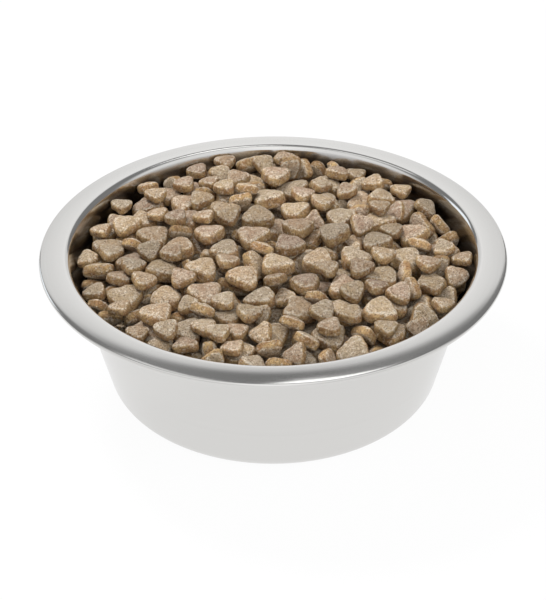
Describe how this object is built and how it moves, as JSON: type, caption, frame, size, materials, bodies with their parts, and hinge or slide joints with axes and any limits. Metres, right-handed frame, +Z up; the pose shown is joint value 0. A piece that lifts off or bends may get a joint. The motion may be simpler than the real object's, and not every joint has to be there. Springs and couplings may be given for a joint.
{
  "type": "filled pet food bowl",
  "caption": "Stainless-steel pet bowl with a plain tapered wall, wide domed flange and rolled edge, heaped with loose dry kibble.",
  "frame": {"origin": "middle of the underside of the bowl's base, on the surface that it stands on", "axes": "+Z up along the bowl's axis of revolution, -Y towards the picture's camera, +X to its right"},
  "size_m": [0.21, 0.21, 0.0722],
  "materials": {
    "bowl_steel": "satin",
    "kibble": "matte"
  },
  "bodies": {
    "root": {"bowl": "bowl_steel", "kibble_bed": "kibble", "kibble_01": "kibble", "kibble_02": "kibble", "kibble_03": "kibble", "kibble_04": "kibble", "kibble_05": "kibble", "kibble_06": "kibble", "kibble_07": "kibble", "kibble_08": "kibble", "kibble_09": "kibble", "kibble_10": "kibble", "kibble_11": "kibble", "kibble_12": "kibble", "kibble_13": "kibble", "kibble_14": "kibble", "kibble_15": "kibble", "kibble_16": "kibble", "kibble_17": "kibble", "kibble_18": "kibble", "kibble_19": "kibble", "kibble_20": "kibble", "kibble_21": "kibble", "kibble_22": "kibble", "kibble_23": "kibble", "kibble_24": "kibble", "kibble_25": "kibble", "kibble_26": "kibble", "kibble_27": "kibble", "kibble_28": "kibble", "kibble_29": "kibble", "kibble_30": "kibble", "kibble_31": "kibble", "kibble_32": "kibble", "kibble_33": "kibble", "kibble_34": "kibble", "kibble_35": "kibble", "kibble_36": "kibble", "kibble_37": "kibble", "kibble_38": "kibble", "kibble_39": "kibble", "kibble_40": "kibble", "kibble_41": "kibble", "kibble_42": "kibble", "kibble_43": "kibble", "kibble_44": "kibble", "kibble_45": "kibble", "kibble_46": "kibble", "kibble_47": "kibble", "kibble_48": "kibble", "kibble_49": "kibble", "kibble_50": "kibble", "kibble_51": "kibble", "kibble_52": "kibble", "kibble_53": "kibble", "kibble_54": "kibble", "kibble_55": "kibble", "kibble_56": "kibble", "kibble_57": "kibble", "kibble_58": "kibble"}
  },
  "joints": []
}
